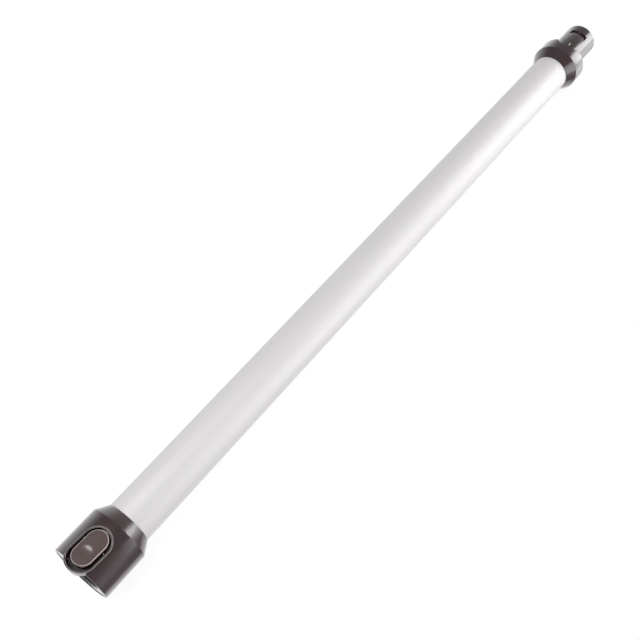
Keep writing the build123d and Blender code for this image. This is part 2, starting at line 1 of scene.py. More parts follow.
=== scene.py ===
"""Studio scene of a vacuum extension wand.

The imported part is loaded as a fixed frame. Smooth meshes with moulded, drawn and turned finishes
stand for its nodes, in the same frame: X along the wand towards the spigot, Z up through the button.
"""

import logging
import math
from collections.abc import Callable, Sequence
from dataclasses import dataclass, field
from enum import Enum

import bmesh
import bpy
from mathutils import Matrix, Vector

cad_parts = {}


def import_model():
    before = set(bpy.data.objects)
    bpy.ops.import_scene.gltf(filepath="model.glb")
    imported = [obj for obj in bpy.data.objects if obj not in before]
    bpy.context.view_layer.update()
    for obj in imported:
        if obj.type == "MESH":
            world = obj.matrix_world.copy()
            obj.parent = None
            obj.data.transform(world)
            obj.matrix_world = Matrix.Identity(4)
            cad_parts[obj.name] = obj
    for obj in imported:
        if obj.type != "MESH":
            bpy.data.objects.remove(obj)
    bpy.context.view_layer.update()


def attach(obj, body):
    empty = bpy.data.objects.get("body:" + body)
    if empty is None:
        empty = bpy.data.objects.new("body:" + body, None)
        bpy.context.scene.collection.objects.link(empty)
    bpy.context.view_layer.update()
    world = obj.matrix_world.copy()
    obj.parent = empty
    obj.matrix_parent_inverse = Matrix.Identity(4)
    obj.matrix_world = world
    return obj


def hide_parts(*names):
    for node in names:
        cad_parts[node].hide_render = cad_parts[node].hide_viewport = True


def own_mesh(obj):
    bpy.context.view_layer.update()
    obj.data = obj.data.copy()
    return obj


log = logging.getLogger("extension_wand")

MM = 0.001

# Shared by the parts that meet: the tube's axis lies this far below the axis of spigot and socket
BORE_OFFSET = 3.0 * MM
TUBE_RADIUS = 18.0 * MM
SPIGOT_RADIUS = 16.0 * MM
AIR_RADIUS = 12.8 * MM
SLEEVE_RADIUS = 16.7 * MM
# Places along the wand
SEAT_X = 0.0
DECK_TOP_X = -8.2 * MM
DECK_LOW_X = -11.2 * MM
PLATE_X = -629.6 * MM
FLOOR_X = -631.0 * MM
RIM_X = -669.2 * MM
# Button and bezel rise from the cuff's surface at this place and angle towards the mouth
CUFF_RADIUS = 24.2 * MM
TILT_X = -638.3 * MM
TILT = math.radians(6.8)

Point = tuple[float, float]
Ring = list[Vector]


class Body(Enum):
    """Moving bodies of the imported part."""

    WAND = "wand"
    BUTTON = "button"


class Cut(Enum):
    """How a boolean tool acts on a piece."""

    REMOVE = "DIFFERENCE"
    ADD = "UNION"
    KEEP = "INTERSECT"


class Slot(Enum):
    """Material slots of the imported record."""

    TUBE = "tube_metal"
    SHELL = "dark_shell"
    MOULDING = "dark_moulding"
    BUTTON = "button_plastic"
    SEAL = "seal_rubber"
    CONTACT = "contact_metal"
    PIN = "pin_steel"
    WIRE = "wire_sheath"


# ---------------------------------------------------------------- modelling steps


def deselect() -> None:
    """Leave edit mode and deselect every object."""
    if bpy.context.object is not None and bpy.context.object.mode != "OBJECT":
        bpy.ops.object.mode_set(mode="OBJECT")
    bpy.ops.object.select_all(action="DESELECT")


def activate(piece: bpy.types.Object) -> None:
    """Make a piece the only selected and the active object."""
    deselect()
    piece.select_set(True)
    bpy.context.view_layer.objects.active = piece


def select_vertices(piece: bpy.types.Object, wanted: Callable[[Vector], bool]) -> int:
    """Select the vertices of a piece in edit mode by their place.

    Args:
        piece: Object that is in edit mode.
        wanted: Test of a vertex's place.

    Returns:
        Number of vertices selected.
    """
    mesh = bmesh.from_edit_mesh(piece.data)
    mesh.select_mode = {"VERT"}
    for vertex in mesh.verts:
        vertex.select = wanted(vertex.co)
    mesh.select_flush(True)
    mesh.select_flush(False)
    bmesh.update_edit_mesh(piece.data)
    return sum(vertex.select for vertex in mesh.verts)


def close_surface(piece: bpy.types.Object) -> None:
    """Merge doubled vertices and turn every face outwards."""
    activate(piece)
    bpy.ops.object.mode_set(mode="EDIT")
    bpy.ops.mesh.select_all(action="SELECT")
    bpy.ops.mesh.remove_doubles(threshold=1e-6)
    bpy.ops.mesh.normals_make_consistent(inside=False)
    bpy.ops.object.mode_set(mode="OBJECT")


def smooth(piece: bpy.types.Object, degrees: float = 30.0) -> None:
    """Shade a piece smooth except over edges sharper than an angle."""
    activate(piece)
    bpy.ops.object.shade_smooth_by_angle(angle=math.radians(degrees))


def rounded(points: Sequence[Point], radii: dict[int, float], steps: int = 5) -> list[Point]:
    """Round chosen corners of an outline.

    Args:
        points: Corners of the outline, in order.
        radii: Radius of each corner that is rounded, by its index.
        steps: Segments of each arc.

    Returns:
        Outline with arcs in place of those corners.
    """
    outline: list[Point] = []
    count = len(points)
    for index, corner in enumerate(points):
        if index not in radii:
            outline.append(corner)
            continue
        here = Vector(corner)
        back = (Vector(points[index - 1]) - here).normalized()
        ahead = (Vector(points[(index + 1) % count]) - here).normalized()
        half = back.angle(ahead) / 2
        centre = here + (back + ahead).normalized() * radii[index] / math.sin(half)
        reach = radii[index] / math.tan(half)
        start = here + back * reach - centre
        turn = start.angle_signed(here + ahead * reach - centre)
        for step in range(steps + 1):
            angle = -turn * step / steps
            spoke = (
                start.x * math.cos(angle) - start.y * math.sin(angle),
                start.x * math.sin(angle) + start.y * math.cos(angle),
            )
            outline.append((centre.x + spoke[0], centre.y + spoke[1]))
    return outline


def turned(name: str, outline: Sequence[Point], axis_z: float, steps: int = 192) -> bpy.types.Object:
    """Turn a closed outline about a line along X.

    Args:
        name: Name of the piece.
        outline: X and radius of each point of the section.
        axis_z: Height of the turning axis.
        steps: Segments round the axis.

    Returns:
        The turned piece.
    """
    deselect()
    bpy.ops.mesh.primitive_plane_add(size=MM)
    piece = bpy.context.object
    piece.name = name
    bpy.ops.object.mode_set(mode="EDIT")
    bpy.ops.mesh.merge(type="CENTER")
    bpy.ops.transform.translate(value=(outline[0][0], 0, outline[0][1] + axis_z))
    for here, ahead in zip(outline, [*outline[1:], outline[0]]):
        step = (ahead[0] - here[0], 0, ahead[1] - here[1])
        bpy.ops.mesh.extrude_region_move(TRANSFORM_OT_translate={"value": step})
    bpy.ops.mesh.select_all(action="SELECT")
    bpy.ops.mesh.remove_doubles(threshold=1e-7)
    bpy.ops.mesh.select_all(action="SELECT")
    bpy.ops.mesh.spin(steps=steps, angle=2 * math.pi, center=(0, 0, axis_z), axis=(1, 0, 0))
    close_surface(piece)
    return piece


def bar(name: str, radius: float, span: Point, axis_z: float = 0.0, steps: int = 128) -> bpy.types.Object:
    """Make a round bar along X.

    Args:
        name: Name of the piece.
        radius: Radius of the bar.
        span: Where it starts and ends along X.
        axis_z: Height of its axis.
        steps: Segments round the axis.

    Returns:
        The bar.
    """
    deselect()
    bpy.ops.mesh.primitive_cylinder_add(
        vertices=steps,
        radius=radius,
        depth=span[1] - span[0],
        location=((span[0] + span[1]) / 2, 0, axis_z),
        rotation=(0, math.pi / 2, 0),
    )
    return settled(name)


def post(
    name: str, radius: float, place: Vector, height: float, across: bool = False, steps: int = 64
) -> bpy.types.Object:
    """Make a round post that is centred on a place.

    Args:
        name: Name of the piece.
        radius: Radius of the post.
        place: Its middle.
        height: Its length.
        across: Whether it lies along Y instead of standing along Z.
        steps: Segments round the axis.

    Returns:
        The post.
    """
    deselect()
    bpy.ops.mesh.primitive_cylinder_add(
        vertices=steps,
        radius=radius,
        depth=height,
        location=place,
        rotation=(math.pi / 2 if across else 0, 0, 0),
    )
    return settled(name)


def block(name: str, low: Sequence[float], high: Sequence[float]) -> bpy.types.Object:
    """Make a square block between two corners."""
    deselect()
    bpy.ops.mesh.primitive_cube_add(
        size=1,
        location=[(a + b) / 2 for a, b in zip(low, high)],
        scale=[b - a for a, b in zip(low, high)],
    )
    return settled(name)


def settled(name: str) -> bpy.types.Object:
    """Name the new primitive and apply its place to its mesh."""
    piece = bpy.context.object
    piece.name = name
    bpy.ops.object.transform_apply(location=True, rotation=True, scale=True)
    return piece


def apply_modifier(piece: bpy.types.Object, kind: str, **settings: object) -> None:
    """Add a modifier with its settings to a piece and apply it.

    Args:
        piece: Object that gets the modifier.
        kind: Blender's type of modifier.
        settings: Values of its properties.
    """
    activate(piece)
    modifier = piece.modifiers.new(kind.lower(), kind)
    for key, value in settings.items():
        setattr(modifier, key, value)
    bpy.ops.object.modifier_apply(modifier=modifier.name)


def combine(piece: bpy.types.Object, tool: bpy.types.Object, cut: Cut) -> None:
    """Cut a piece with a tool or add the tool to it, and remove the tool.

    Args:
        piece: Object that stays.
        tool: Closed object that acts on it.
        cut: What the tool does.
    """
    apply_modifier(piece, "BOOLEAN", object=tool, operation=cut.value, solver="EXACT")
    bpy.data.objects.remove(tool)


def gather(piece: bpy.types.Object, *others: bpy.types.Object) -> None:
    """Join other objects into one piece."""
    activate(piece)
    for other in others:
        other.select_set(True)
    bpy.ops.object.join()


def stadium_ring(centres: Point, radius: float, height: float, steps: int) -> Ring:
    """Points of a stadium outline that is long along X.

    Args:
        centres: X of the two end arcs' centres, low one first.
        radius: Radius of the end arcs.
        height: Z of the outline.
        steps: Number of points, a multiple of 4.

    Returns:
        The outline, anticlockwise seen from above.
    """
    ring: Ring = []
    for index in range(steps):
        angle = 2 * math.pi * (index + 0.5) / steps
        middle = centres[1] if math.cos(angle) > 0 else centres[0]
        ring.append(Vector((middle + radius * math.cos(angle), radius * math.sin(angle), height)))
    return ring


def lofted(name: str, rings: Sequence[Ring], closed: bool) -> bpy.types.Object:
    """Extrude a loop through a row of rings.

    Args:
        name: Name of the piece.
        rings: Outlines with the same number of points.
        closed: Whether the last ring joins the first, otherwise both ends are filled.

    Returns:
        The lofted piece.
    """
    deselect()
    bpy.ops.mesh.primitive_circle_add(vertices=len(rings[0]), radius=1, fill_type="NOTHING")
    piece = bpy.context.object
    piece.name = name
    bpy.ops.object.mode_set(mode="EDIT")
    mesh = bmesh.from_edit_mesh(piece.data)
    loop = list(mesh.verts)
    for vertex, place in zip(loop, rings[0]):
        vertex.co = place
    bmesh.update_edit_mesh(piece.data)
    if not closed:
        bpy.ops.mesh.edge_face_add()
    rows = [*rings[1:], rings[0]] if closed else rings[1:]
    for here, ahead in zip([rings[0], *rows], rows):
        order = {tuple(round(c, 7) for c in place): index for index, place in enumerate(here)}
        bpy.ops.mesh.extrude_edges_move()
        mesh = bmesh.from_edit_mesh(piece.data)
        for vertex in mesh.verts:
            if vertex.select:
                vertex.co = ahead[order[tuple(round(c, 7) for c in vertex.co)]]
        bmesh.update_edit_mesh(piece.data)
    if not closed:
        bpy.ops.mesh.edge_face_add()
    close_surface(piece)
    return piece


def bent_onto(piece: bpy.types.Object, radius: float, flat: float, foot: float) -> None:
    """Lay a flat piece on the cylinder along the button's tilted axis.

    Args:
        piece: Object that is modelled flat.
        radius: Radius of the cylinder.
        flat: Height that comes to lie on the cylinder.
        foot: Points up to this height stay where they are.
    """
    for vertex in piece.data.vertices:
        if vertex.co.z > foot:
            rise = (TILT_X - vertex.co.x) * math.tan(TILT) - BORE_OFFSET
            vertex.co.z += rise + math.sqrt(radius**2 - vertex.co.y**2) / math.cos(TILT) - flat
    piece.data.update()


def stadium_block(
    name: str, centres: Point, radius: float, zs: Point, keep: Point, steps: int = 128
) -> bpy.types.Object:
    """Make an upright stadium block and keep a stretch of it along X.

    Args:
        name: Name of the piece.
        centres: X of the two end arcs' centres, low one first.
        radius: Radius of the end arcs.
        zs: Lowest and highest height.
        keep: Stretch of X that is kept.
        steps: Number of points round its outline.

    Returns:
        The block.
    """
    piece = lofted(name, [stadium_ring(centres, radius, z, steps) for z in zs], closed=False)
    low, high = centres[0] - radius, centres[1] + radius
    for span in ((low - MM, keep[0]), (keep[1], high + MM)):
        if span[0] + MM < span[1]:
            waste = block("waste", (span[0], -2 * radius, zs[0] - MM), (span[1], 2 * radius, zs[1] + MM))
            combine(piece, waste, Cut.REMOVE)
    return piece


def smooth_copy(node: str, body: Body, degrees: float = 40.0) -> bpy.types.Object:
    """Copy a node's mesh, merge its loose triangles and shade it smooth.

    Args:
        node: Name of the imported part's node.
        body: Body that it moves with.
        degrees: Edges sharper than this stay sharp.

    Returns:
        The copy, which stands for the node.
    """
    source = bpy.data.objects[node]
    piece = bpy.data.objects.new(f"{node}_dressed", source.data.copy())
    bpy.context.scene.collection.objects.link(piece)
    piece.data.materials.clear()
    activate(piece)
    bpy.ops.object.mode_set(mode="EDIT")
    bpy.ops.mesh.select_all(action="SELECT")
    bpy.ops.mesh.remove_doubles(threshold=1e-6)
    bpy.ops.object.mode_set(mode="OBJECT")
    smooth(piece, degrees)
    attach(piece, body.value)
    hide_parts(node)
    return piece


def dress(
    piece: bpy.types.Object, finish: "Finish", body: Body, nodes: Sequence[str] = ()
) -> bpy.types.Object:
    """Give a piece its finish, its body and the nodes that it stands for.

    Args:
        piece: Object to dress.
        finish: Finish that it gets all over.
        body: Body that it moves with.
        nodes: Nodes that it replaces.

    Returns:
        The same piece.
    """
    piece.data.materials.clear()
    piece.data.materials.append(finish.material())
    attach(piece, body.value)
    if nodes:
        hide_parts(*nodes)
    log.info("%s: %d faces", piece.name, len(piece.data.polygons))
    return piece


def accent(piece: bpy.types.Object, finish: "Finish", wanted: Callable[[bpy.types.MeshPolygon], bool]) -> None:
    """Give some faces of a dressed piece a second finish.

    Args:
        piece: Dressed object.
        finish: Finish of the chosen faces.
        wanted: Test of a face.
    """
    piece.data.materials.append(finish.material())
    index = len(piece.data.materials) - 1
    for face in piece.data.polygons:
        if wanted(face):
            face.material_index = index


def stadium_reach(place: Vector, centres: Point) -> float:
    """Distance in plan of a place from the middle line of a stadium."""
    nearest = min(max(place.x, centres[0]), centres[1])
    return math.hypot(place.x - nearest, place.y)


# ---------------------------------------------------------------- shared surface effects


def new_group(name: str, inputs: dict[str, float], outputs: Sequence[str]) -> bpy.types.NodeTree:
    """Start a shader node group with float sockets.

    Args:
        name: Name of the group.
        inputs: Its input sockets and their values.
        outputs: Its output sockets.

    Returns:
        The group, with its input and output nodes in place.
    """
    group = bpy.data.node_groups.new(name, "ShaderNodeTree")
    for label, value in inputs.items():
        socket = group.interface.new_socket(label, in_out="INPUT", socket_type="NodeSocketFloat")
        socket.default_value = value
    for label in outputs:
        group.interface.new_socket(label, in_out="OUTPUT", socket_type="NodeSocketFloat")
    group.nodes.new("NodeGroupInput").name = "in"
    group.nodes.new("NodeGroupOutput").name = "out"
    return group


class Effects:
    """Surface effects that several finishes share, each a node group that is built once."""

    @staticmethod
    def moulded_grain() -> bpy.types.NodeTree:
        """Fine grain of a moulded surface with a broad, faint mottle.

        Returns:
            Group with the height of the grain and the mottle as a value about 0.5.
        """
        name = "moulded grain"
        if name in bpy.data.node_groups:
            return bpy.data.node_groups[name]
        group = new_group(name, {"Grain Scale": 1800.0, "Mottle Scale": 60.0}, ["Height", "Mottle"])
        nodes, links = group.nodes, group.links
        place = nodes.new("ShaderNodeTexCoord")
        grain = nodes.new("ShaderNodeTexNoise")
        grain.inputs["Detail"].default_value = 2.0
        grain.inputs["Roughness"].default_value = 0.6
        mottle = nodes.new("ShaderNodeTexNoise")
        mottle.inputs["Detail"].default_value = 4.0
        for texture, label in ((grain, "Grain Scale"), (mottle, "Mottle Scale")):
            links.new(place.outputs["Object"], texture.inputs["Vector"])
            links.new(nodes["in"].outputs[label], texture.inputs["Scale"])
        links.new(grain.outputs["Fac"], nodes["out"].inputs["Height"])
        links.new(mottle.outputs["Fac"], nodes["out"].inputs["Mottle"])
        return group

    @staticmethod
    def length_lines() -> bpy.types.NodeTree:
        """Fine lines along X, as drawn tube and sliding fits have.

        Returns:
            Group with the lines as a value from 0 to 1.
        """
        name = "length lines"
        if name in bpy.data.node_groups:
            return bpy.data.node_groups[name]
        group = new_group(name, {"Lines": 1400.0, "Stretch": 0.006}, ["Value"])
        nodes, links = group.nodes, group.links
        place = nodes.new("ShaderNodeTexCoord")
        apart = nodes.new("ShaderNodeSeparateXYZ")
        squeeze = nodes.new("ShaderNodeMath")
        squeeze.operation = "MULTIPLY"
        joined = nodes.new("ShaderNodeCombineXYZ")
        noise = nodes.new("ShaderNodeTexNoise")
        noise.inputs["Detail"].default_value = 3.0
        noise.inputs["Roughness"].default_value = 0.55
        links.new(place.outputs["Object"], apart.inputs["Vector"])
        links.new(apart.outputs["X"], squeeze.inputs[0])
        links.new(nodes["in"].outputs["Stretch"], squeeze.inputs[1])
        links.new(squeeze.outputs["Value"], joined.inputs["X"])
        links.new(apart.outputs["Y"], joined.inputs["Y"])
        links.new(apart.outputs["Z"], joined.inputs["Z"])
        links.new(joined.outputs["Vector"], noise.inputs["Vector"])
        links.new(nodes["in"].outputs["Lines"], noise.inputs["Scale"])
        links.new(noise.outputs["Fac"], nodes["out"].inputs["Value"])
        return group


# ---------------------------------------------------------------- finishes


class NodeSheet:
    """The node tree of one material, with short ways to add and join its nodes."""

    def __init__(self, name: str) -> None:
        """Start a material that holds only a Principled shader and its output."""
        self.material = bpy.data.materials.new(name)
        self.material.use_nodes = True
        self.tree = self.material.node_tree
        self.shader = self.tree.nodes["Principled BSDF"]

    def add(self, kind: str, **values: object) -> bpy.types.Node:
        """Add a node and set its properties."""
        node = self.tree.nodes.new(kind)
        for key, value in values.items():
            setattr(node, key, value)
        return node

    def group(self, tree: bpy.types.NodeTree, **values: float) -> bpy.types.Node:
        """Place a node group with its own input values."""
        node = self.add("ShaderNodeGroup", node_tree=tree)
        for key, value in values.items():
            node.inputs[key.replace("_", " ").title()].default_value = value
        return node

    def link(self, start: bpy.types.NodeSocket, end: bpy.types.NodeSocket) -> None:
        """Join an output to an input."""
        self.tree.links.new(start, end)

    def spread(self, source: bpy.types.NodeSocket, low: float, high: float) -> bpy.types.NodeSocket:
        """Map a noise value that lies about 0.5 to a range.

        Args:
            source: Value to map.
            low: Result for a low value.
            high: Result for a high value.

        Returns:
            The mapped value.
        """
        node = self.add("ShaderNodeMapRange")
        for label, value in (("From Min", 0.3), ("From Max", 0.7), ("To Min", low), ("To Max", high)):
            node.inputs[label].default_value = value
        self.link(source, node.inputs["Value"])
        return node.outputs["Result"]

    def tint(
        self, factor: bpy.types.NodeSocket, first: Sequence[float], second: Sequence[float]
    ) -> bpy.types.NodeSocket:
        """Mix two colours by a value.

        Args:
            factor: Value from 0 to 1.
            first: Colour at 0.
            second: Colour at 1.

        Returns:
            The mixed colour.
        """
        node = self.add("ShaderNodeMix", data_type="RGBA")
        node.inputs["A"].default_value = (*first, 1.0)
        node.inputs["B"].default_value = (*second, 1.0)
        colours = [socket for socket in node.inputs if socket.type == "RGBA"]
        colours[0].default_value = (*first, 1.0)
        colours[1].default_value = (*second, 1.0)
        self.link(factor, node.inputs["Factor"])
        return next(socket for socket in node.outputs if socket.type == "RGBA")

    def bump(self, height: bpy.types.NodeSocket, depth: float, strength: float) -> None:
        """Raise the surface by a height.

        Args:
            height: Value from 0 to 1.
            depth: Height in metres that 1 stands for.
            strength: Share of the effect that is kept.
        """
        node = self.add("ShaderNodeBump")
        node.inputs["Distance"].default_value = depth
        node.inputs["Strength"].default_value = strength
        self.link(height, node.inputs["Height"])
        self.link(node.outputs["Normal"], self.shader.inputs["Normal"])


def linear(red: int, green: int, blue: int) -> tuple[float, float, float]:
    """Scene colour of a display colour from 0 to 255."""
    shares = [channel / 255 for channel in (red, green, blue)]
    return tuple(s / 12.92 if s <= 0.04045 else ((s + 0.055) / 1.055) ** 2.4 for s in shares)


@dataclass(frozen=True)
class Finish:
    """A named finish that makes its material once."""

    name: str

    def material(self) -> bpy.types.Material:
        """Return the finish's material, built when it is first asked for."""
        if self.name not in bpy.data.materials:
            self.build(NodeSheet(self.name))
        return bpy.data.materials[self.name]

    def build(self, sheet: NodeSheet) -> None:
        """Fill the material's nodes."""
        raise NotImplementedError


@dataclass(frozen=True)
class DrawnMetal(Finish):
    """Satin metal with faint lines along its length."""

    pale: tuple[float, float, float]
    grey: tuple[float, float, float]
    roughness: Point
    lines: float = 1400.0
    depth: float = 4e-6
    metallic: float = 1.0

    def build(self, sheet: NodeSheet) -> None:
        """Lines tint the metal a little; a mottle varies its gloss and a fine grain raises it."""
        lines = sheet.group(Effects.length_lines(), lines=self.lines)
        grain = sheet.group(Effects.moulded_grain(), grain_scale=2600.0, mottle_scale=9.0)
        sheet.link(
            sheet.tint(sheet.spread(lines.outputs["Value"], 0.0, 1.0), self.grey, self.pale),
            sheet.shader.inputs["Base Color"],
        )
        sheet.link(
            sheet.spread(grain.outputs["Mottle"], *self.roughness), sheet.shader.inputs["Roughness"]
        )
        sheet.shader.inputs["Metallic"].default_value = self.metallic
        sheet.bump(grain.outputs["Height"], self.depth, 0.35)


@dataclass(frozen=True)
class Moulding(Finish):
    """Moulded plastic: a tint with a faint mottle, fine grain and uneven gloss."""

    dark: tuple[float, float, float]
    light: tuple[float, float, float]
    roughness: Point
    grain_scale: float = 1600.0
    depth: float = 6e-6
    strength: float = 0.25
    coat: float = 0.0

    def build(self, sheet: NodeSheet) -> None:
        """Mottle tints the plastic and its gloss; the grain raises it."""
        grain = sheet.group(
            Effects.moulded_grain(), grain_scale=self.grain_scale, mottle_scale=45.0
        )
        sheet.link(
            sheet.tint(sheet.spread(grain.outputs["Mottle"], 0.0, 1.0), self.dark, self.light),
            sheet.shader.inputs["Base Color"],
        )
        sheet.link(
            sheet.spread(grain.outputs["Mottle"], *self.roughness), sheet.shader.inputs["Roughness"]
        )
        if self.coat:
            sheet.shader.inputs["Coat Weight"].default_value = self.coat
            sheet.shader.inputs["Coat Roughness"].default_value = 0.2
        sheet.bump(grain.outputs["Height"], self.depth, self.strength)


class Finishes:
    """The finishes of this wand."""

    TUBE = DrawnMetal("satin silver tube", linear(224, 222, 222), linear(219, 217, 217), (0.6, 0.66), metallic=0.35)
    SHELL = Moulding(
        "gloss charcoal shell", linear(44, 26, 30), linear(50, 31, 35), (0.20, 0.28), coat=1.0
    )
    SPIGOT = Moulding(
        "gloss charcoal spigot", linear(42, 27, 30), linear(50, 34, 37), (0.20, 0.28), coat=1.0
    )
    MOULDING = Moulding(
        "satin black moulding", linear(28, 26, 27), linear(36, 33, 34), (0.42, 0.52), strength=0.4
    )
    BUTTON = Moulding(
        "satin umber button", linear(74, 58, 56), linear(80, 64, 62), (0.36, 0.44), strength=0.35, coat=1.0
    )
    # Lighter colour on the bezel's edge lines: a painted highlight.
    SHELL_EDGE_HIGHLIGHT = Moulding(
        "shell edge painted highlight", linear(122, 114, 113), linear(132, 124, 123), (0.2, 0.26), coat=1.0
    )
    # Lighter colour on the button's rounded edge: a painted highlight.
    BUTTON_EDGE_HIGHLIGHT = Moulding(
        "button edge painted highlight", linear(165, 150, 146), linear(175, 160, 156), (0.24, 0.3), coat=0.5
    )
    LINER = Moulding("gloss black liner", linear(26, 22, 23), linear(34, 29, 30), (0.2, 0.26), coat=1.0)
    # Pale colour in half of the spigot's alignment mark: a painted highlight.
    MARK_HIGHLIGHT = Moulding("mark painted highlight", linear(226, 224, 220), linear(234, 232, 228), (0.4, 0.5))
    SEAL = Moulding(
        "seal rubber", linear(20, 20, 21), linear(28, 28, 28), (0.7, 0.82), depth=1.5e-5, strength=0.6
    )
    BRASS = DrawnMetal("plated contact", linear(214, 178, 110), linear(196, 160, 95), (0.22, 0.3))
    STEEL = DrawnMetal("bright pin steel", linear(190, 190, 192), linear(170, 170, 173), (0.2, 0.3))
    SHEATH = Moulding("wire sheath", linear(40, 40, 42), linear(52, 52, 54), (0.45, 0.55))


# ---------------------------------------------------------------- sub-assemblies


@dataclass
class WandTube:
    """The silver tube with the duct and the two wires along its floor."""

    radius: float = TUBE_RADIUS
    wall: float = 1.2 * MM
    span: Point = (PLATE_X, DECK_LOW_X)
    edge: float = 0.25 * MM
    snap_radius: float = 1.9 * MM
    snap_setback: float = 3.6 * MM
    hidden: tuple[tuple[str, Slot, Finish], ...] = (
        ("wire_duct", Slot.MOULDING, Finishes.MOULDING),
        ("live_wire", Slot.WIRE, Finishes.SHEATH),
        ("return_wire", Slot.WIRE, Finishes.SHEATH),
        ("wire_crimps", Slot.CONTACT, Finishes.BRASS),
    )

    def build(self) -> None:
        """Make the tube and dress what runs inside it."""
        self.make_tube()
        for node, slot, finish in self.hidden:
            dress(smooth_copy(node, Body.WAND), finish, Body.WAND)

    def make_tube(self) -> bpy.types.Object:
        """Turn the tube with eased ends and drill its snap holes.

        Returns:
            The dressed tube.
        """
        low, high = self.span
        bore = self.radius - self.wall
        section = [(low, self.radius), (high, self.radius), (high, bore), (low, bore)]
        outline = rounded(section, dict.fromkeys(range(4), self.edge), steps=3)
        tube = turned("tube", outline, -BORE_OFFSET)
        for place in (low + self.snap_setback, high - self.snap_setback):
            drill = post(
                "drill", self.snap_radius, Vector((place, 0, -BORE_OFFSET)), 3 * self.radius, across=True
            )
            combine(tube, drill, Cut.REMOVE)
        smooth(tube)
        return dress(tube, Finishes.TUBE, Body.WAND, ["wand_tube"])


